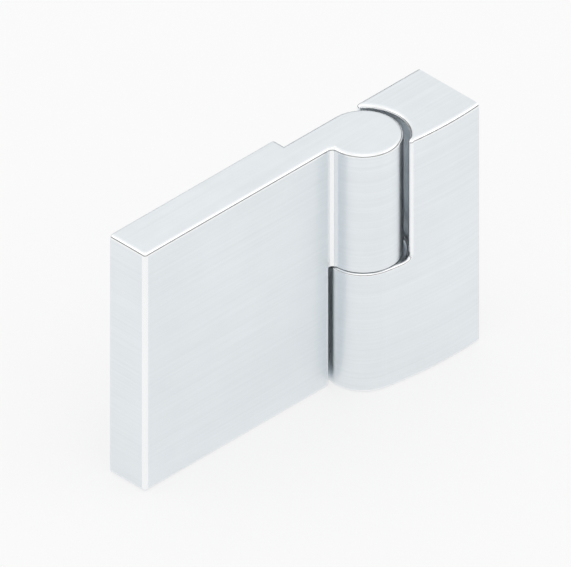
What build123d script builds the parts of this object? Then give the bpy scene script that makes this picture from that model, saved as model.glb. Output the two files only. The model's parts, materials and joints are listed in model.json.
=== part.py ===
from build123d import *
import math
import os

# A glass to wall hinge for a shower door, which lifts the door as it opens. All sizes are in millimetres.
# Each piece is drawn about the pin's axis, at mid height, and moved to the part's frame when it is written.
# The part's frame has its origin on the wall face, level with the pin and at mid height. X runs towards the
# wall, Y towards the inside of the shower, where the glass lies, and Z is up.

# Both leaves
height = 65.0
axis_to_wall = 26.0
axis_to_leaf_end = 68.0
barrel_r = 9.0
edge_r = 1.0  # rounding of the edges in view
glass_edge_r = 0.45  # rounding of the edges that lie against the glass
knife_r = 0.5  # rounding of the leaf's thin upright edge beside the lower barrel
barrel_gap = 0.3  # upright gap between the upper barrel and the lower one, closed
bore_r = 6.0  # bore of both barrels

# Glass leaf
leaf_front = 0.75  # front face, behind the pin's axis
leaf_thick = 11.25
neck_length = 16.0  # from the pin's axis to the step in the back
notch_gap = 0.8  # between the lower barrel and the leaf's notch around it
neck_r = 1.0  # hollow rounding between the leaf and its barrel
barrel_foot_r = 0.3  # rounding under the upper barrel
upper_roof = 5.0  # metal left above the upper bore

# Wall leaf
bow_r = 100.0  # radius of the bowed front
bow_crest = 18.1  # from the pin's axis to the crest of the bow
recess_gap = 1.4  # between the upper barrel and the recess around it
recess_foot_r = 1.0  # hollow rounding at the foot of the recess
mouth_r = 0.65  # rounding all along the recess's mouth, from the front round the lower barrel to the back

# Wall plate and its pocket
plate_thick = 8.0
plate_wide = 12.0
plate_end_wall = 7.0  # metal of the wall leaf above and below the plate, its play included
plate_y = -0.5  # middle of the plate, from the pin's axis
pocket_play = 0.1  # all round the plate
screw_pitch = 32.0  # between the two wall screws
wall_screw_r = 2.75
wall_screw_head_r = 5.2
plate_corner_r = 1.5
grub_pitch = 14.0  # between the two grub screws that clamp the wall leaf

# Grub screws, all alike
grub_r = 2.5
grub_point = 1.4  # length of the conical point
grub_bite = 0.8  # depth that the point sinks into what it holds
grub_sunk = 0.4  # below the face that it is driven from
grub_socket_r = 1.25
grub_socket_deep = 1.6

# Pin and its bearing
pin_r = 3.5
pin_flats = 5.8  # across the two flats
pin_chamfer = 0.6
pin_headroom = 3.5  # above the pin, under the roof of the upper bore, closed
journal_r = 3.0
web_thick = 6.0  # web across the lower bore
bearing_wall = 1.5
flange_r = 5.4
flange_thick = 0.9
run_gap = 0.04  # running clearance on a radius
face_gap = 0.05  # running clearance between faces
washer_r = 5.3
washer_thick = 1.0
pin_screw_r = 2.0
pin_screw_long = 9.0
pin_screw_head_r = 3.6
pin_screw_head = 2.0
pin_screw_edge_r = 0.4
pin_socket_r = 1.25
pin_socket_deep = 1.0
washer_play = 0.1
plug_tall = 2.0
plug_wall = 0.9
plug_chamfer = 0.2
plug_headroom = 0.55  # between the plug and the screw's head

# Cams
lift_per_turn = 16.0
cam_starts = 2
cam_sink = 0.5  # highest line of the fixed ramps, below the top of the lower barrel
cam_gap = 0.03  # between the ramps
stop_gap_deg = 0.4  # turn between the stop faces, closed
pin_past_follower = 4.0  # length of the pin above the follower, closed
guide_rise = 1.0  # height where the follower's bore takes the pin's flats
flats_lead = 1.0  # the pin's flats start this far below that
zero_grub_rise = 6.0  # of the grub screw that holds the fixed cam, above the web
fit_gap = 0.02  # fixed fits, on a radius
key_wide = 2.0
key_deep = 0.8

# Glass and its clamping discs
glass_thick = 8.0
gasket_thick = 1.0
gasket_inset = 1.5
gasket_corner_r = 1.0
disc_pitch = 26.0
disc_from_end = 29.0
disc_r = 9.0
disc_rim = 1.0
disc_edge_r = 0.25
disc_shank_r = 5.0
disc_standoff = 0.6  # between the disc's shank and the leaf
sleeve_wall = 1.0
gasket_hole_play = 0.4
clamp_screw_r = 3.0
clamp_screw_head_r = 6.0
clamp_screw_bite = 7.0  # length of the screw in the leaf
clamp_screw_tip = 0.5  # chamfer at its end
clamp_socket_r = 2.0
clamp_socket_deep = 2.4
thread_play = 0.02
thread_end = 1.2  # threaded hole past the screw's end

# Worked out from the sizes above
z_top = height / 2
z_bottom = -height / 2
leaf_end = -axis_to_leaf_end
leaf_back = leaf_front + leaf_thick
neck_back = barrel_r
wall_back = barrel_r
step_x = -neck_length
notch_r = barrel_r + notch_gap
recess_r = barrel_r + recess_gap
bow_reach = bow_r - barrel_r
bow_centre = Vector(bow_crest, math.sqrt(bow_reach**2 - bow_crest**2), 0)
wall_front = bow_centre.Y - math.sqrt(bow_r**2 - (axis_to_wall - bow_crest) ** 2)
screw_foot = z_bottom + plug_tall + plug_headroom
washer_foot = screw_foot + pin_screw_head
pin_end = washer_foot + washer_thick
web_bottom = pin_end + face_gap + flange_thick
web_top = web_bottom + web_thick
pin_shoulder = web_top + face_gap
bore_roof = z_top - upper_roof
pin_top = bore_roof - pin_headroom
flats_foot = guide_rise - flats_lead
pin_thread_deep = pin_screw_long - washer_thick + thread_end
plate_tall = height - 2 * plate_end_wall
plate_face = axis_to_wall - plate_thick
plate_mid_x = axis_to_wall - plate_thick / 2
plate_back = plate_y + plate_wide / 2
grub_z = grub_pitch / 2
zero_grub_z = web_top + zero_grub_rise
cam_top = -cam_sink
cam_rise = lift_per_turn / cam_starts
cam_foot = cam_top - cam_rise
follower_top = pin_top - pin_past_follower
glass_front = leaf_back + gasket_thick
glass_back = glass_front + glass_thick
disc_x = leaf_end + disc_from_end
disc_z = disc_pitch / 2
disc_cone = disc_r - disc_shank_r
cone_start = glass_back - disc_rim - disc_cone
head_cone = clamp_screw_head_r - clamp_screw_r
clamp_tip = leaf_back - clamp_screw_bite

# For cutting and comparing shapes
cut_over = 1.0  # how far a cutting shape runs past the face that it opens
tiny = 1e-4  # two places closer than this are one
ramp_inside = pin_r - cut_over
ramp_outside = bore_r + cut_over


def upright(plan, low, high):
    """A plan shape made solid between two heights."""
    return extrude(Pos(0, 0, low) * plan, amount=high - low)


def upright_rod(radius, low, high):
    """A round bar about the pin's axis."""
    return upright(Circle(radius), low, high)


def rod_along_y(radius, x, z, start, end):
    """A round bar that runs from the front towards the back."""
    plane = Plane(origin=(x, start, z), x_dir=(1, 0, 0), z_dir=(0, 1, 0))
    return extrude(plane * Circle(radius), amount=end - start)


def turned_along_y(outline, x, z):
    """A shape turned about a line along Y. The outline is (radius, y) corners."""
    plane = Plane(origin=(x, 0, z), x_dir=(1, 0, 0), z_dir=(0, 0, 1))
    profile = make_face(Polyline(*outline, close=True))
    return revolve(plane * profile, axis=Axis((x, 0, z), (0, 1, 0)))


def corner_near(sketch, x, y):
    """The corner of a plan shape that is nearest to a point."""
    return sketch.vertices().sort_by_distance((x, y, 0))[0]


def edges_where(shape, test):
    """The edges whose middle passes a test."""
    return [edge for edge in shape.edges() if test(edge.position_at(0.5))]


def near(a, b):
    """Whether two places along an axis are one."""
    return abs(a - b) < tiny


# Glass leaf


def leaf_outline():
    """Plan of the plate and its thinner neck, without the barrel."""
    corners = [
        (leaf_end, leaf_front),
        (0, leaf_front),
        (0, neck_back),
        (step_x, neck_back),
        (step_x, leaf_back),
        (leaf_end, leaf_back),
    ]
    return make_face(Polyline(*corners, close=True))


def upper_leaf():
    """Upper half of the glass leaf, with the barrel and its rounded top edges."""
    plan = leaf_outline() + Circle(barrel_r)
    plan = fillet(corner_near(plan, -barrel_r, leaf_front), neck_r)
    body = upright(plan, barrel_gap, z_top)

    def in_view(middle):
        if near(middle.Z, z_top):
            return not near(middle.Y, leaf_back)
        return near(middle.X, leaf_end) and near(middle.Y, leaf_front)

    return fillet(edges_where(body, in_view), edge_r)


def lower_leaf():
    """Lower half of the glass leaf, notched around the lower barrel."""
    body = upright(leaf_outline() - Circle(notch_r), z_bottom, barrel_gap)
    notch_front = -math.sqrt(notch_r**2 - leaf_front**2)
    notch_back = -math.sqrt(notch_r**2 - neck_back**2)

    def before_barrel(middle):
        return near(middle.X, notch_front) and near(middle.Y, leaf_front)

    def behind_barrel(middle):
        return near(middle.X, notch_back) and near(middle.Y, neck_back)

    def in_view(middle):
        if near(middle.Z, z_bottom):
            return not near(middle.Y, leaf_back)
        return near(middle.X, leaf_end) and near(middle.Y, leaf_front)

    body = fillet(edges_where(body, before_barrel), edge_r)
    body = fillet(edges_where(body, behind_barrel), knife_r)
    return fillet(edges_where(body, in_view), edge_r)


def keyed_bore(play):
    """Plan of the upper bore with its keyway, or with play of the cam that fits it."""
    key = Pos(0, bore_r) * Rectangle(key_wide - 2 * play, 2 * (key_deep - play))
    return Circle(bore_r - play) + key


def barrel_foot():
    """The metal that the rounding under the upper barrel takes off, from the neck's back round to its front."""
    inside = barrel_r - barrel_foot_r
    outside = barrel_r + cut_over
    low = barrel_gap - cut_over
    top = barrel_gap + barrel_foot_r
    arc = CenterArc((inside, top), barrel_foot_r, -90, 90)
    rest = Polyline((barrel_r, top), (outside, top), (outside, low), (inside, low), (inside, barrel_gap))
    ring = Plane.XZ * make_face([arc, rest])
    neck_turn = math.degrees(math.asin((neck_r - leaf_front) / (barrel_r + neck_r)))
    return revolve(Rot(0, 0, 90) * ring, axis=Axis.Z, revolution_arc=neck_turn - 270)


def glass_leaf():
    """Glass leaf, with the bore for the pin and the threaded holes for the clamping screws."""
    body = upper_leaf() + lower_leaf()

    def against_glass(middle):
        return near(middle.Y, leaf_back)

    body = fillet(edges_where(body, against_glass), glass_edge_r)
    body -= barrel_foot()
    body -= upright(keyed_bore(0), barrel_gap - cut_over, bore_roof)
    hole_r = clamp_screw_r + thread_play
    for z in (disc_z, -disc_z):
        body -= rod_along_y(hole_r, disc_x, z, clamp_tip - thread_end, leaf_back + cut_over)
    return body


def leaf_gasket():
    """Thin pad between the leaf and the glass."""
    low_x = leaf_end + gasket_inset
    high_x = step_x - gasket_inset
    tall = height - 2 * gasket_inset
    plane = Plane(origin=(0, leaf_back, 0), x_dir=(1, 0, 0), z_dir=(0, 1, 0))
    sheet = Pos((low_x + high_x) / 2, 0) * RectangleRounded(high_x - low_x, tall, gasket_corner_r)
    pad = extrude(plane * sheet, amount=gasket_thick)
    hole = disc_shank_r + sleeve_wall + gasket_hole_play
    for z in (disc_z, -disc_z):
        pad -= rod_along_y(hole, disc_x, z, leaf_back - cut_over, glass_front + cut_over)
    return pad


def clamp_disc(z):
    """Conical disc, sunk flush in the inner face of the glass."""
    outline = [
        (0, leaf_back + disc_standoff),
        (disc_shank_r, leaf_back + disc_standoff),
        (disc_shank_r, cone_start),
        (disc_r, glass_back - disc_rim),
        (disc_r, glass_back),
        (0, glass_back),
    ]
    disc = turned_along_y(outline, disc_x, z)
    rim = edges_where(disc, lambda middle: near(middle.Y, glass_back))
    disc = fillet(rim, disc_edge_r)
    seat = [
        (0, leaf_back),
        (clamp_screw_r + thread_play, leaf_back),
        (clamp_screw_r + thread_play, glass_back - head_cone + thread_play),
        (clamp_screw_head_r, glass_back),
        (clamp_screw_head_r, glass_back + cut_over),
        (0, glass_back + cut_over),
    ]
    return disc - turned_along_y(seat, disc_x, z)


def disc_sleeve(z):
    """Plastic cone that keeps the disc off the glass."""
    outline = [
        (disc_shank_r + thread_play, glass_front),
        (disc_shank_r + sleeve_wall, glass_front),
        (disc_shank_r + sleeve_wall, cone_start),
        (disc_r, glass_back - disc_rim - sleeve_wall),
        (disc_r, glass_back - disc_rim - thread_play),
        (disc_shank_r + thread_play, cone_start - thread_play),
    ]
    return turned_along_y(outline, disc_x, z)


def clamp_screw(z):
    """Countersunk screw with a hexagon socket."""
    outline = [
        (0, clamp_tip),
        (clamp_screw_r - clamp_screw_tip, clamp_tip),
        (clamp_screw_r, clamp_tip + clamp_screw_tip),
        (clamp_screw_r, glass_back - head_cone),
        (clamp_screw_head_r, glass_back),
        (0, glass_back),
    ]
    screw = turned_along_y(outline, disc_x, z)
    return screw - hexagon_socket(disc_x, z, glass_back, clamp_socket_r, clamp_socket_deep)


# Wall leaf


def wall_outline():
    """Plan of the wall leaf: its barrel, bowed front, wall face and flat back.

    The front is a smooth curve that leaves the barrel, passes the crest and ends on the wall along the bow's arc.
    """
    meet = bow_centre * (-barrel_r / bow_reach)
    crest = bow_centre - Vector(0, bow_r)
    corner = Vector(axis_to_wall, wall_front)
    along = [Vector(0, 0, 1).cross(point - bow_centre) for point in (meet, corner)]
    front = Spline(meet, crest, corner, tangents=along)
    face = Line(corner, (axis_to_wall, wall_back))
    back = Line((axis_to_wall, wall_back), (0, wall_back))
    barrel = ThreePointArc((0, wall_back), (-barrel_r, 0), meet)
    return make_face([front, face, back, barrel])


def recess():
    """The space around the upper barrel, open at the top, with a hollow rounding at its foot."""
    hollow_r = recess_r - recess_foot_r
    top = z_top + cut_over
    floor = Line((0, 0), (hollow_r, 0))
    hollow = CenterArc((hollow_r, recess_foot_r), recess_foot_r, -90, 90)
    rest = Polyline((recess_r, recess_foot_r), (recess_r, top), (0, top), (0, 0))
    return revolve(Plane.XZ * make_face([floor, hollow, rest]), axis=Axis.Z)


def wall_leaf():
    """Wall leaf, with its lower barrel, the recess above it and the pocket for the wall plate."""
    body = upright(wall_outline(), z_bottom, z_top) - recess()

    def side_of_mouth(middle):
        above_foot = recess_foot_r + tiny < middle.Z < z_top - tiny
        return above_foot and near(math.hypot(middle.X, middle.Y), recess_r)

    def round_an_end(middle):
        return near(abs(middle.Z), z_top) and not near(middle.X, axis_to_wall)

    # The mouth's edges run on smoothly from its sides, so rounding these rounds it all
    body = fillet(edges_where(body, side_of_mouth), mouth_r)
    body = fillet(edges_where(body, round_an_end), edge_r)
    body -= upright_rod(bore_r, web_top, cut_over)
    body -= upright_rod(journal_r + bearing_wall, web_bottom - cut_over, web_top + cut_over)
    body -= upright_rod(bore_r, z_bottom - cut_over, web_bottom)
    body -= plate_block(pocket_play, cut_over)
    body -= rod_along_y(grub_r + thread_play, 0, zero_grub_z, 0, wall_back + cut_over)
    for z in (grub_z, -grub_z):
        body -= rod_along_y(grub_r + thread_play, plate_mid_x, z, plate_back - cut_over, wall_back + cut_over)
    return body


def plate_block(play, past_wall):
    """The wall plate's block, or with play its pocket in the wall leaf."""
    low = plate_face - play
    deep = axis_to_wall + past_wall - low
    wide = plate_wide + 2 * play
    tall = plate_tall + 2 * play
    block = Pos(low + deep / 2, plate_y, 0) * Box(deep, wide, tall)
    return fillet(block.edges().filter_by(Axis.X), plate_corner_r + play)


def grub_dimple(x, z, seat):
    """Conical dent that the point of a grub screw presses into."""
    floor = seat - grub_bite - thread_play
    outline = [
        (0, floor),
        (grub_r - grub_point + thread_play, floor),
        (grub_r + thread_play, floor + grub_point),
        (grub_r + thread_play, wall_back),
        (0, wall_back),
    ]
    return turned_along_y(outline, x, z)


def grub_screw(x, z, seat):
    """Socket grub screw along Y with a conical point, which bites below the face at seat."""
    point_r = grub_r - grub_point
    tip = seat - grub_bite
    head = wall_back - grub_sunk
    outline = [
        (0, tip),
        (point_r, tip),
        (grub_r, tip + grub_point),
        (grub_r, head),
        (0, head),
    ]
    screw = turned_along_y(outline, x, z)
    return screw - hexagon_socket(x, z, head, grub_socket_r, grub_socket_deep)


def hexagon_socket(x, z, head, flat_r, deep):
    """Hexagonal hole for a key, in a screw head that faces the back."""
    plane = Plane(origin=(x, head - deep, z), x_dir=(1, 0, 0), z_dir=(0, 1, 0))
    return extrude(plane * RegularPolygon(flat_r, 6, major_radius=False), amount=deep + cut_over)


def wall_plate():
    """Block that is screwed to the wall and carries the wall leaf."""
    block = plate_block(0, 0)
    sink = wall_screw_head_r - wall_screw_r
    outline = [
        (0, plate_face - cut_over),
        (wall_screw_head_r, plate_face - cut_over),
        (wall_screw_head_r, plate_face),
        (wall_screw_r, plate_face + sink),
        (wall_screw_r, axis_to_wall + cut_over),
        (0, axis_to_wall + cut_over),
    ]
    profile = make_face(Polyline(*outline, close=True))
    for z in (screw_pitch / 2, -screw_pitch / 2):
        plane = Plane(origin=(0, plate_y, z), x_dir=(0, 0, 1), z_dir=(0, 1, 0))
        block -= revolve(plane * profile, axis=Axis((0, plate_y, z), (1, 0, 0)))
    for z in (grub_z, -grub_z):
        block -= grub_dimple(plate_mid_x, z, plate_back)
    return block


# Pin, bearing and cams


def hinge_pin():
    """Round pin with a thinner journal below and two flats above."""
    pin = upright_rod(pin_r, pin_shoulder, pin_top)
    top = edges_where(pin, lambda middle: near(middle.Z, pin_top))
    pin = chamfer(top, pin_chamfer)
    flat_deep = pin_r - pin_flats / 2
    for side in (1, -1):
        waste = Box(2 * pin_r, flat_deep + cut_over, pin_top - flats_foot + cut_over)
        middle = (pin_flats + flat_deep + cut_over) / 2
        pin -= Pos(0, side * middle, (pin_top + flats_foot + cut_over) / 2) * waste
    pin += upright_rod(journal_r, pin_end, pin_shoulder)
    return pin - upright_rod(pin_screw_r + thread_play, pin_end - cut_over, pin_end + pin_thread_deep)


def pin_washer():
    """Washer that keeps the pin from being drawn up."""
    washer = upright_rod(washer_r, washer_foot, pin_end)
    return washer - upright_rod(pin_screw_r + washer_play, washer_foot - cut_over, pin_end + cut_over)


def pin_screw():
    """Cheese head screw with a hexagon socket, driven up into the pin's end."""
    screw = upright_rod(pin_screw_head_r, screw_foot, washer_foot)
    rim = edges_where(screw, lambda middle: near(middle.Z, screw_foot))
    screw = fillet(rim, pin_screw_edge_r)
    screw += upright_rod(pin_screw_r, washer_foot, washer_foot + pin_screw_long)
    socket = RegularPolygon(pin_socket_r, 6, major_radius=False)
    return screw - upright(socket, screw_foot - cut_over, screw_foot + pin_socket_deep)


def lower_bearing():
    """Flanged bush pressed up into the web."""
    bush = upright_rod(journal_r + bearing_wall - fit_gap, web_bottom, web_top)
    bush += upright_rod(flange_r, web_bottom - flange_thick, web_bottom)
    return bush - upright_rod(journal_r + run_gap, web_bottom - flange_thick - cut_over, web_top + cut_over)


def bottom_plug():
    """Cap with a thin skirt that closes the lower bore."""
    top = z_bottom + plug_tall
    plug = upright_rod(bore_r - fit_gap, z_bottom, top)
    rim = edges_where(plug, lambda middle: near(middle.Z, z_bottom))
    plug = chamfer(rim, plug_chamfer)
    return plug - upright_rod(bore_r - fit_gap - plug_wall, z_bottom + plug_wall, top + cut_over)


def ramp_space(low, upward):
    """Space above the helical ramps that start at a height, or below them."""
    inner = Helix(lift_per_turn, cam_rise, ramp_inside)
    outer = Helix(lift_per_turn, cam_rise, ramp_outside)
    ramp = Face.make_surface_from_curves(inner.edge(), outer.edge())
    reach = height if upward else -height
    space = extrude(ramp, amount=reach, dir=(0, 0, 1))
    return [Rot(0, 0, start * 360 / cam_starts) * Pos(0, 0, low) * space for start in range(cam_starts)]


def cam_base():
    """Fixed cam in the lower barrel."""
    cam = upright_rod(bore_r - fit_gap, web_top, cam_top)
    cam -= upright_rod(pin_r + run_gap, web_top - cut_over, cam_top + cut_over)
    for space in ramp_space(cam_foot, True):
        cam -= space
    return cam - grub_dimple(0, zero_grub_z, bore_r - fit_gap)


def cam_follower():
    """Cam keyed into the upper barrel. It slides on the pin's flats."""
    cam = upright(keyed_bore(fit_gap), barrel_gap, follower_top)
    cam += upright_rod(bore_r - 2 * run_gap, cam_foot, barrel_gap)
    cam -= upright_rod(pin_r + run_gap, cam_foot - cut_over, guide_rise)
    flat_bore = Circle(pin_r + run_gap) & Rectangle(2 * bore_r, pin_flats + 2 * run_gap)
    cam -= upright(flat_bore, guide_rise - cut_over, follower_top + cut_over)
    turned = lift_per_turn * stop_gap_deg / 360
    for space in ramp_space(cam_foot + cam_gap + turned, False):
        cam -= Rot(0, 0, stop_gap_deg) * space
    return cam


def write(name, shape):
    """Moves a piece to the part's frame and writes its file."""
    placed = Pos(-axis_to_wall, 0, 0) * shape
    placed.label = name
    export_step(placed, os.path.join("parts", name + ".step"))


os.makedirs("parts", exist_ok=True)
write("glass_leaf", glass_leaf())
write("leaf_gasket", leaf_gasket())
write("cam_follower", cam_follower())
write("hinge_pin", hinge_pin())
write("pin_washer", pin_washer())
write("pin_screw", pin_screw())
write("wall_leaf", wall_leaf())
write("wall_plate", wall_plate())
write("lower_bearing", lower_bearing())
write("cam_base", cam_base())
write("zero_grub", grub_screw(0, zero_grub_z, bore_r - fit_gap))
write("bottom_plug", bottom_plug())
for place, side in (("upper", 1), ("lower", -1)):
    write("clamp_disc_" + place, clamp_disc(side * disc_z))
    write("disc_sleeve_" + place, disc_sleeve(side * disc_z))
    write("clamp_screw_" + place, clamp_screw(side * disc_z))
    write("wall_grub_" + place, grub_screw(plate_mid_x, side * grub_z, plate_back))
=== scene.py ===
import bmesh
import bpy
import json
import math
from mathutils import Matrix, Vector

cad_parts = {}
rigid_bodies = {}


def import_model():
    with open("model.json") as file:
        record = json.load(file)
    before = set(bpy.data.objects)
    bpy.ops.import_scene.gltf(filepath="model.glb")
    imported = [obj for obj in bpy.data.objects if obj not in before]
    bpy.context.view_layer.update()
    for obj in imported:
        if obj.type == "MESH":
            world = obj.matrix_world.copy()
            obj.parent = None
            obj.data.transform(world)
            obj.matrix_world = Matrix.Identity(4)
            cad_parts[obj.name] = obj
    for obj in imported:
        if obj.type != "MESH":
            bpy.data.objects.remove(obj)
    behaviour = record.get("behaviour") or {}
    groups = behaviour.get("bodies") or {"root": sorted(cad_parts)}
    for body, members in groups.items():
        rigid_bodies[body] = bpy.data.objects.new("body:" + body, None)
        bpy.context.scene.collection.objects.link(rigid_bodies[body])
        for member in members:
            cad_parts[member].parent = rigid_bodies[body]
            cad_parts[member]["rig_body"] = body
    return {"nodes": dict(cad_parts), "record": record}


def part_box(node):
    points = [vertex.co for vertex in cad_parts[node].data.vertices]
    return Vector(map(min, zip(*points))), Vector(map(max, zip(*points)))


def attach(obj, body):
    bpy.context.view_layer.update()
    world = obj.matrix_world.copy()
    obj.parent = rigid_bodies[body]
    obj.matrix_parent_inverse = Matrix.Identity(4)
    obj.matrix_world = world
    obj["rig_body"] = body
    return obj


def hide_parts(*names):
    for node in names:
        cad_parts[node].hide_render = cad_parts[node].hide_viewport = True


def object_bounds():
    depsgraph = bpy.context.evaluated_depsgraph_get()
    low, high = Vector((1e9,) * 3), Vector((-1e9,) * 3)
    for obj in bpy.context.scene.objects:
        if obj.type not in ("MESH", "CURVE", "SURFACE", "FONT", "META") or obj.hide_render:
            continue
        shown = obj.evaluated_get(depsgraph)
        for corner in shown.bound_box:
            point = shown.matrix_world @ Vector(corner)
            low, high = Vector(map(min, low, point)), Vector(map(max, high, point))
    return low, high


# Lengths are in metres, and those in millimetres say so.

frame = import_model()
cad_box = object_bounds()
nodes = frame["nodes"]
bpy.context.scene.view_settings.view_transform = "Standard"


def add_object(name, data):
    """Puts a mesh, lamp or camera in the scene."""
    added = bpy.data.objects.new(name, data)
    bpy.context.scene.collection.objects.link(added)
    return added


# Camera: exact isometric view, at the drawing's scale

def make_camera():
    mm_per_pixel = 0.2228
    pixels_across = 571
    distance = 1.2
    target = Vector((-0.0505, 0, 0.0034))
    data = bpy.data.cameras.new("camera")
    data.type = "ORTHO"
    data.ortho_scale = pixels_across * mm_per_pixel / 1000
    data.clip_start = 0.01
    data.clip_end = 10
    camera = add_object("camera", data)
    back = Vector((-1, -1, 1)).normalized()
    right = Vector((1, -1, 0)).normalized()
    up = back.cross(right)
    turn = Matrix((right, up, back)).transposed().to_4x4()
    camera.matrix_world = Matrix.Translation(target + back * distance) @ turn
    bpy.context.scene.camera = camera


make_camera()


# Materials

class Nodes:
    """Short way to build a material out of nodes."""

    def __init__(self, name):
        self.material = bpy.data.materials.new(name)
        self.material.use_nodes = True
        self.tree = self.material.node_tree
        self.shader = self.tree.nodes["Principled BSDF"]

    def add(self, kind, **settings):
        node = self.tree.nodes.new(kind)
        for key, value in settings.items():
            setattr(node, key, value)
        return node

    def link(self, out, into):
        self.tree.links.new(out, into)

    def coords(self):
        return self.add("ShaderNodeTexCoord").outputs["Object"]

    def noise(self, vector, scale, detail=3.0, rough=0.5, stretch=(1, 1, 1)):
        mapping = self.add("ShaderNodeMapping")
        mapping.inputs["Scale"].default_value = stretch
        self.link(vector, mapping.inputs["Vector"])
        noise = self.add("ShaderNodeTexNoise")
        noise.inputs["Scale"].default_value = scale
        noise.inputs["Detail"].default_value = detail
        noise.inputs["Roughness"].default_value = rough
        self.link(mapping.outputs["Vector"], noise.inputs["Vector"])
        return noise.outputs["Fac"]

    def spread(self, value, low, high, to_low, to_high):
        """Maps one range of values to another."""
        node = self.add("ShaderNodeMapRange")
        node.inputs["From Min"].default_value = low
        node.inputs["From Max"].default_value = high
        node.inputs["To Min"].default_value = to_low
        node.inputs["To Max"].default_value = to_high
        self.link(value, node.inputs["Value"])
        return node.outputs["Result"]

    def math(self, how, a, b=0):
        node = self.add("ShaderNodeMath", operation=how)
        for socket, value in zip(node.inputs, (a, b)):
            if isinstance(value, (int, float)):
                socket.default_value = value
            else:
                self.link(value, socket)
        return node.outputs[0]

    def mix(self, a, b, share_of_b):
        """Weighted sum of two patterns."""
        return self.math("ADD", self.math("MULTIPLY", a, 1 - share_of_b), self.math("MULTIPLY", b, share_of_b))

    def tint(self, value, dark, light):
        """Colour between two tones."""
        node = self.add("ShaderNodeMix", data_type="RGBA")
        node.inputs["A"].default_value = (*dark, 1)
        node.inputs["B"].default_value = (*light, 1)
        self.link(value, node.inputs["Factor"])
        return node.outputs["Result"]

    def bump(self, height, distance, strength):
        node = self.add("ShaderNodeBump")
        node.inputs["Distance"].default_value = distance
        node.inputs["Strength"].default_value = strength
        self.link(height, node.inputs["Height"])
        self.link(node.outputs["Normal"], self.shader.inputs["Normal"])

    def level(self):
        """0 on upright walls, 1 on level faces."""
        normal = self.add("ShaderNodeTexCoord").outputs["Normal"]
        parts = self.add("ShaderNodeSeparateXYZ")
        self.link(normal, parts.inputs["Vector"])
        return self.math("ABSOLUTE", parts.outputs["Z"])

    def edges(self, lift):
        """1 on the roundings that tilt between upright and level, 0 on flat faces and upright walls."""
        between = self.math("MULTIPLY", lift, self.math("SUBTRACT", 1, lift))
        return self.spread(between, 0.02, 0.16, 0, 1)

    def blend(self, share, a, b):
        node = self.add("ShaderNodeMix")
        for value, name in ((share, "Factor"), (a, "A"), (b, "B")):
            self.link(value, node.inputs[name])
        return node.outputs["Result"]

    def radius(self, where, x, z):
        """Distance from a line along Y at x, and at z or -z, whichever is nearer."""
        parts = self.add("ShaderNodeSeparateXYZ")
        self.link(where, parts.inputs["Vector"])
        across = self.math("SUBTRACT", parts.outputs["X"], x)
        along = self.math("SUBTRACT", self.math("ABSOLUTE", parts.outputs["Z"]), z)
        square = self.math("ADD", self.math("MULTIPLY", across, across), self.math("MULTIPLY", along, along))
        return self.math("SQRT", square)

    def inside(self, where, low, high):
        """1 inside a box that is given by its corners in millimetres, with a soft border."""
        parts = self.add("ShaderNodeSeparateXYZ")
        self.link(where, parts.inputs["Vector"])
        soft = 0.1
        found = None
        for axis, start, end in zip("XYZ", low, high):
            centre, half = (start + end) / 2, (end - start) / 2
            away = self.math("ABSOLUTE", self.math("SUBTRACT", parts.outputs[axis], centre / 1000))
            test = self.spread(away, (half - soft) / 1000, (half + soft) / 1000, 1, 0)
            found = test if found is None else self.math("MULTIPLY", found, test)
        return found


cool_glint = (0.84, 0.86, 0.88, 1)
brush_share = 0.6  # of the brush lines in a metal's tone, beside its clouds


def satin_chrome(name, face_dark, face_light, painted_highlight_colour, upright_edges):
    """Chromed and brushed level, so the lines run round upright walls and along level faces.

    The roundings are smoother than the faces, and brighter by a painted highlight.
    """
    m = Nodes(name)
    s = m.shader
    s.inputs["Metallic"].default_value = 1
    s.inputs["Specular Tint"].default_value = cool_glint
    line = 0.016  # stretch along a brush line
    edge_polish = 0.17  # less rough than the faces
    where = m.coords()
    cloud = m.noise(where, scale=38)
    smear = m.noise(where, scale=210, detail=4, rough=0.6)
    walls = m.noise(where, scale=1300, detail=4, rough=0.68, stretch=(line, line, 1))
    tops = m.noise(where, scale=1300, detail=4, rough=0.68, stretch=(line, 1, line))
    lift = m.level()
    lines = m.blend(lift, walls, tops)
    edge = m.edges(lift)
    for low, high in upright_edges:
        edge = m.math("MAXIMUM", edge, m.inside(where, low, high))
    tone = m.mix(cloud, lines, brush_share)
    face = m.tint(m.spread(tone, 0.36, 0.64, 0, 1), face_dark, face_light)
    # Painted highlight: the roundings' mask mixes a brighter colour into the faces' colour
    colour = m.add("ShaderNodeMix", data_type="RGBA")
    m.link(edge, colour.inputs["Factor"])
    m.link(face, colour.inputs["A"])
    colour.inputs["B"].default_value = (*painted_highlight_colour, 1)
    m.link(colour.outputs["Result"], s.inputs["Base Color"])
    # The same mask makes the roundings smoother, a real polish
    rough = m.spread(smear, 0.3, 0.7, 0.3, 0.38)
    rough = m.math("SUBTRACT", rough, m.math("MULTIPLY", edge, edge_polish))
    m.link(rough, s.inputs["Roughness"])
    m.bump(lines, distance=0.000009, strength=0.6)
    return m.material


def turned_metal(name, dark, light, axis_x, axis_z, rough):
    """Metal turned about two lines along Y, one above and one below the middle, with fine rings."""
    m = Nodes(name)
    s = m.shader
    s.inputs["Metallic"].default_value = 1
    s.inputs["Specular Tint"].default_value = cool_glint
    where = m.coords()
    line = m.add("ShaderNodeCombineXYZ")
    m.link(m.radius(where, axis_x, axis_z), line.inputs["X"])
    rings = m.noise(line.outputs["Vector"], scale=2600, rough=0.65)
    cloud = m.noise(where, scale=240)
    tone = m.mix(cloud, rings, brush_share)
    m.link(m.tint(m.spread(tone, 0.35, 0.65, 0, 1), dark, light), s.inputs["Base Color"])
    m.link(m.spread(rings, 0.3, 0.7, rough - 0.05, rough + 0.06), s.inputs["Roughness"])
    m.bump(rings, distance=0.000006, strength=0.6)
    return m.material


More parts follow.
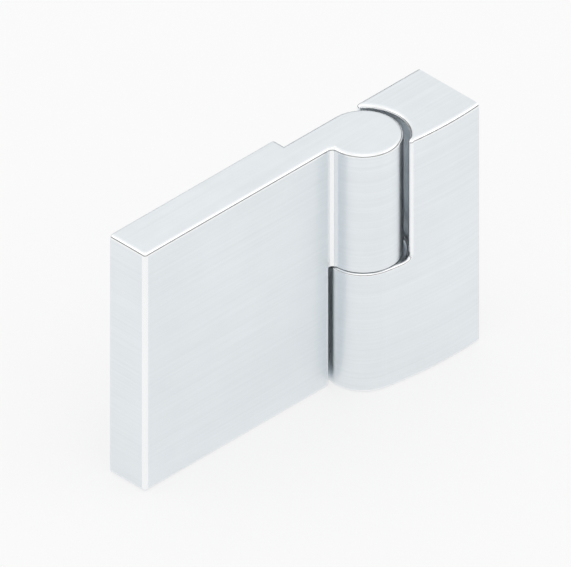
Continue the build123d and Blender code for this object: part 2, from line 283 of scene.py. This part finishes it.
def brushed_steel(name, light, stretch):
    """Steel with brush lines along the axis that the stretch makes longest."""
    m = Nodes(name)
    s = m.shader
    s.inputs["Metallic"].default_value = 1
    where = m.coords()
    lines = m.noise(where, scale=900, detail=4, rough=0.6, stretch=stretch)
    cloud = m.noise(where, scale=120)
    tone = m.spread(m.mix(cloud, lines, brush_share), 0.35, 0.65, 0, 1)
    dark = light * 0.84
    m.link(m.tint(tone, (dark, dark, dark), (light, light, light * 1.01)), s.inputs["Base Color"])
    m.link(m.spread(lines, 0.3, 0.7, 0.26, 0.4), s.inputs["Roughness"])
    m.bump(lines, distance=0.000006, strength=0.6)
    return m.material


def plastic(name, dark, light, rough, clear=0.0):
    """Moulded plastic or rubber with a fine grain. Clear is the share of light that it lets through."""
    m = Nodes(name)
    s = m.shader
    where = m.coords()
    cloud = m.noise(where, scale=160, detail=4)
    grain = m.noise(where, scale=4200, rough=0.6)
    m.link(m.tint(m.spread(cloud, 0.3, 0.7, 0, 1), dark, light), s.inputs["Base Color"])
    m.link(m.spread(grain, 0.3, 0.7, rough - 0.05, rough + 0.07), s.inputs["Roughness"])
    s.inputs["Transmission Weight"].default_value = clear
    s.inputs["IOR"].default_value = 1.49
    m.bump(grain, distance=0.000008, strength=0.5)
    return m.material


disc_low, disc_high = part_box("clamp_disc_upper")
disc_x = (disc_low[0] + disc_high[0]) / 2
disc_z = (disc_low[2] + disc_high[2]) / 2
stainless = brushed_steel("stainless", 0.78, (1, 1, 12))
plate_steel = brushed_steel("plate_steel", 0.7, (9, 9, 0.3))
screw_steel = brushed_steel("screw_steel", 0.74, (3, 0.6, 3))
cap_steel = turned_metal("cap_steel", (0.6, 0.605, 0.61), (0.72, 0.725, 0.73), disc_x, disc_z, 0.3)
disc_chrome = turned_metal("disc_chrome", (0.76, 0.79, 0.81), (0.83, 0.855, 0.87), disc_x, disc_z, 0.16)
cam_plastic = plastic("cam_plastic", (0.76, 0.76, 0.72), (0.82, 0.82, 0.79), 0.38)
plug_plastic = plastic("plug_plastic", (0.42, 0.44, 0.46), (0.5, 0.52, 0.54), 0.42)
sleeve_nylon = plastic("sleeve_nylon", (0.8, 0.82, 0.82), (0.88, 0.9, 0.9), 0.3, 0.3)
clear_gasket = plastic("clear_gasket", (0.8, 0.84, 0.85), (0.87, 0.9, 0.91), 0.42, 0.3)

# Boxes around the upright roundings, by their low and high corners in millimetres, which get the painted
# highlight and the smoother polish
glass_leaf_edges = [
    ((-95, -1, -33), (-93, 1.75, 33)),  # end
    ((-36.2, -1, 0.3), (-34.2, 0.8, 33)),  # hollow beside the upper barrel
    ((-36.7, 0, -33), (-35.2, 1.8, 0.3)),  # slit beside the lower barrel
]
wall_leaf_edges = [
    ((-20.9, -10.15, 1), (-20.2, -8.8, 33)),  # front of the recess
    ((-19.6, 7.8, 1), (-18.6, 9.1, 33)),  # back of the recess
]
face_tones = (0.81, 0.849, 0.874), (0.86, 0.9, 0.925)
# Colour of the painted highlight on the roundings
painted_highlight_tone = (0.955, 0.965, 0.97)
glass_leaf_chrome = satin_chrome("leaf_chrome", *face_tones, painted_highlight_tone, glass_leaf_edges)
wall_leaf_chrome = satin_chrome("wall_chrome", *face_tones, painted_highlight_tone, wall_leaf_edges)

looks = {
    "leaf_chrome": wall_leaf_chrome,
    "disc_chrome": disc_chrome,
    "stainless": stainless,
    "plate_steel": plate_steel,
    "screw_steel": screw_steel,
    "cam_plastic": cam_plastic,
    "plug_plastic": plug_plastic,
    "sleeve_nylon": sleeve_nylon,
    "clear_gasket": clear_gasket,
}


# Screws with real threads

columns = 96  # around a screw
rows_per_turn = 14  # of a thread
thread_deep = 0.58  # of its pitch
crest_share = 0.12  # of half the pitch, level at the crest
flank_share = 0.68  # of half the pitch, for the slope
socket_chamfer = 1.06  # mouth of a socket, times the width over its corners
chamfer_slope = 0.75
drill_share = 0.9  # of the socket's width, for the drill's cone
drill_deep = 0.3
drill_point = 0.00002
sharp_angle = math.radians(30)


def hexagon(flat_r, turn):
    """Radius of a hexagon at an angle."""
    side = (turn + math.pi / 6) % (math.pi / 3) - math.pi / 6
    return flat_r / math.cos(side)


def thread(radius, pitch, start, end, along, turn):
    """Radius of a screw thread, which fades out at both ends."""
    phase = (along / pitch - turn / math.tau) % 1
    hollow = min(1, max(0, (abs(phase - 0.5) * 2 - crest_share) / flank_share))
    fade = min(1, max(0, (along - start) / pitch), max(0, (end - along) / pitch))
    return radius - pitch * thread_deep * hollow * fade


def lathe(rows):
    """Points turned about an axis, with faces. A row gives (radius, distance along the axis) for an angle."""
    turns = [math.tau * i / columns for i in range(columns)]
    points, faces = [], []
    for row in rows:
        for turn in turns:
            radius, along = row(turn)
            points.append((radius * math.cos(turn), radius * math.sin(turn), along))
    for low in range(0, (len(rows) - 1) * columns, columns):
        high = low + columns
        for i in range(columns):
            j = (i + 1) % columns
            faces.append((low + i, low + j, high + j, high + i))
    last = (len(rows) - 1) * columns
    faces.append(tuple(reversed(range(columns))))
    faces.append(tuple(range(last, last + columns)))
    return points, faces


def ring(radius, along):
    """A round row."""
    return lambda turn: (radius, along)


def socket_rows(head, flat_r, deep):
    """Chamfered hexagon socket that ends in the drill's cone."""
    mouth = flat_r / math.cos(math.pi / 6) * socket_chamfer

    def lip(turn):
        wide = hexagon(flat_r, turn)
        return wide, head - (mouth - wide) * chamfer_slope

    def foot(turn):
        return hexagon(flat_r, turn), head - deep

    cone = [ring(flat_r * drill_share, head - deep), ring(drill_point, head - deep - flat_r * drill_deep)]
    return [ring(mouth, head), lip, foot] + cone


def threaded_rows(radius, pitch, start, end):
    """Rows of the thread, from its plain start to its plain end."""
    steps = max(2, round((end - start) / pitch * rows_per_turn))

    def row_at(along):
        return lambda turn: (thread(radius, pitch, start, end, along, turn), along)

    return [row_at(start + (end - start) * k / steps) for k in range(steps + 1)]


def make_screw(name, node, axis, rows, look):
    """Puts a screw in the place of a CAD screw. Its rows run from the tip at 0 to the head."""
    low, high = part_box(node)
    middle = [(a + b) / 2 for a, b in zip(low, high)]
    points, faces = lathe(rows)
    if axis == "Y":
        placed = [(middle[0] + x, low[1] + along, middle[2] + y) for x, y, along in points]
    else:
        placed = [(middle[0] + x, middle[1] + y, high[2] - along) for x, y, along in points]
    mesh = bpy.data.meshes.new(name)
    mesh.from_pydata(placed, [], faces)
    shape = bmesh.new()
    shape.from_mesh(mesh)
    bmesh.ops.recalc_face_normals(shape, faces=shape.faces)
    shape.to_mesh(mesh)
    shape.free()
    mesh.shade_smooth()
    mesh.set_sharp_from_angle(angle=sharp_angle)
    mesh.materials.append(look)
    screw = add_object(name, mesh)
    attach(screw, nodes[node]["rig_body"])
    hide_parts(node)


def clamp_screw_rows():
    """M6 screw with a countersunk head and a finely rounded rim."""
    r, pitch, long, tip, thread_end = 0.003, 0.001, 0.016, 0.0005, 0.0095
    cone_deep, head_r, rim, rim_in = 0.003, 0.00592, 0.00006, 0.0012
    rows = [ring(r - tip, 0)] + threaded_rows(r, pitch, tip, thread_end)
    rows += [ring(r, long - cone_deep), ring(head_r - 0.00004, long - 2 * rim), ring(head_r, long - rim)]
    rows += [ring(head_r - rim, long), ring(head_r - rim_in, long)]
    return rows + socket_rows(long, flat_r=0.002, deep=0.0024)


def grub_rows(node):
    """M5 grub screw with a conical point, as long as the CAD one."""
    low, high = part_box(node)
    long = high[1] - low[1]
    r, pitch, point, blunt, end, end_in = 0.0025, 0.0008, 0.0014, 0.00005, 0.00035, 0.0006
    rows = [ring(r - point - blunt, 0), ring(r - point, blunt)] + threaded_rows(r, pitch, point, long - end)
    rows += [ring(r - end, long), ring(r - end_in, long)]
    return rows + socket_rows(long, flat_r=0.00125, deep=0.0016)


def pin_screw_rows():
    """M4 screw with a cheese head that has a rounded rim."""
    r, pitch, shank, tip, runout = 0.002, 0.0007, 0.009, 0.0004, 0.0008
    head, head_r, edge = 0.002, 0.0036, 0.0004
    top = shank + head
    rows = [ring(r - tip, 0)] + threaded_rows(r, pitch, tip, shank - runout)
    rows += [ring(r, shank), ring(head_r, shank), ring(head_r, top - edge)]
    for degrees in (30, 60, 90):
        a = math.radians(degrees)
        rows.append(ring(head_r - edge * (1 - math.cos(a)), top - edge * (1 - math.sin(a))))
    rows.append(ring(head_r - edge * 2, top))
    return rows + socket_rows(top, flat_r=0.00125, deep=0.001)


for side in ("upper", "lower"):
    make_screw("m6_screw_" + side, "clamp_screw_" + side, "Y", clamp_screw_rows(), cap_steel)
    grub = "wall_grub_" + side
    make_screw("m5_grub_" + side, grub, "Y", grub_rows(grub), screw_steel)
make_screw("m5_grub_zero", "zero_grub", "Y", grub_rows("zero_grub"), screw_steel)
make_screw("m4_pin_screw", "pin_screw", "Z", pin_screw_rows(), stainless)

for part in frame["record"]["subparts"]:
    look = glass_leaf_chrome if part["node"] == "glass_leaf" else looks[part["material_slot"]]
    materials = nodes[part["node"]].data.materials
    materials.clear()
    materials.append(look)


# Floor, world and lamps

def make_floor():
    """Pale floor that is white to the eye, keeps the object's shadow and can be looked through from below."""
    z = cad_box[0][2] - 0.00005
    reach = 3.0
    glow_share = 0.7
    mesh = bpy.data.meshes.new("floor")
    corners = [(-reach, -reach, z), (reach, -reach, z), (reach, reach, z), (-reach, reach, z)]
    mesh.from_pydata(corners, [], [(0, 1, 2, 3)])
    floor = add_object("floor", mesh)
    m = Nodes("pale_floor")
    m.shader.inputs["Base Color"].default_value = (0.9, 0.9, 0.9, 1)
    m.shader.inputs["Roughness"].default_value = 0.9
    m.shader.inputs["Specular IOR Level"].default_value = 0.1
    glow = m.add("ShaderNodeEmission")
    glow.inputs["Color"].default_value = (1, 1, 1, 1)
    glow.inputs["Strength"].default_value = 1
    path = m.add("ShaderNodeLightPath")
    seen = m.math("MAXIMUM", path.outputs["Is Camera Ray"], path.outputs["Is Glossy Ray"])
    seen = m.math("MAXIMUM", seen, path.outputs["Is Transmission Ray"])
    mix = m.add("ShaderNodeMixShader")
    m.link(m.math("MULTIPLY", seen, glow_share), mix.inputs["Fac"])
    m.link(m.shader.outputs["BSDF"], mix.inputs[1])
    m.link(glow.outputs["Emission"], mix.inputs[2])
    clear = m.add("ShaderNodeBsdfTransparent")
    one_sided = m.add("ShaderNodeMixShader")
    m.link(m.add("ShaderNodeNewGeometry").outputs["Backfacing"], one_sided.inputs["Fac"])
    m.link(mix.outputs["Shader"], one_sided.inputs[1])
    m.link(clear.outputs["BSDF"], one_sided.inputs[2])
    m.link(one_sided.outputs["Shader"], m.tree.nodes["Material Output"].inputs["Surface"])
    mesh.materials.append(m.material)


def slope(tree, value, low, high, to_low, to_high):
    """A smooth step from one strength to another."""
    node = tree.nodes.new("ShaderNodeMapRange")
    node.interpolation_type = "SMOOTHSTEP"
    node.inputs["From Min"].default_value = low
    node.inputs["From Max"].default_value = high
    node.inputs["To Min"].default_value = to_low
    node.inputs["To Max"].default_value = to_high
    tree.links.new(value, node.inputs["Value"])
    return node.outputs["Result"]


def make_world():
    """A white studio that dims in a band just above eye level, the same for every kind of ray."""
    world = bpy.data.worlds.new("studio")
    bpy.context.scene.world = world
    world.use_nodes = True
    tree = world.node_tree
    white = 1.0
    band = 0.06
    background = tree.nodes["Background"]
    background.inputs["Color"].default_value = (1, 1, 1, 1)
    way = tree.nodes.new("ShaderNodeTexCoord")
    parts = tree.nodes.new("ShaderNodeSeparateXYZ")
    tree.links.new(way.outputs["Generated"], parts.inputs["Vector"])
    below = slope(tree, parts.outputs["Z"], 0.01, 0.05, white, band)
    above = slope(tree, parts.outputs["Z"], 0.16, 0.46, band, white)
    strength = tree.nodes.new("ShaderNodeMath")
    strength.operation = "MAXIMUM"
    tree.links.new(below, strength.inputs[0])
    tree.links.new(above, strength.inputs[1])
    tree.links.new(strength.outputs[0], background.inputs["Strength"])


def make_lamp(name, place, size, watts):
    """Soft box that faces the middle of the hinge."""
    middle = Vector((-0.047, 0, 0))
    data = bpy.data.lights.new(name, "AREA")
    data.shape = "RECTANGLE"
    data.size, data.size_y = size
    data.energy = watts
    lamp = add_object(name, data)
    lamp.location = place
    lamp.rotation_euler = (Vector(place) - middle).to_track_quat("Z", "Y").to_euler()


make_floor()
make_world()
make_lamp("right_box", (0.65, -0.7, 0.75), (0.9, 0.5), 0.5)
make_lamp("left_box", (-0.75, 0.6, 0.7), (0.8, 0.5), 0.4)
make_lamp("front_box", (-0.5, -0.55, 1.0), (0.7, 0.6), 0.5)
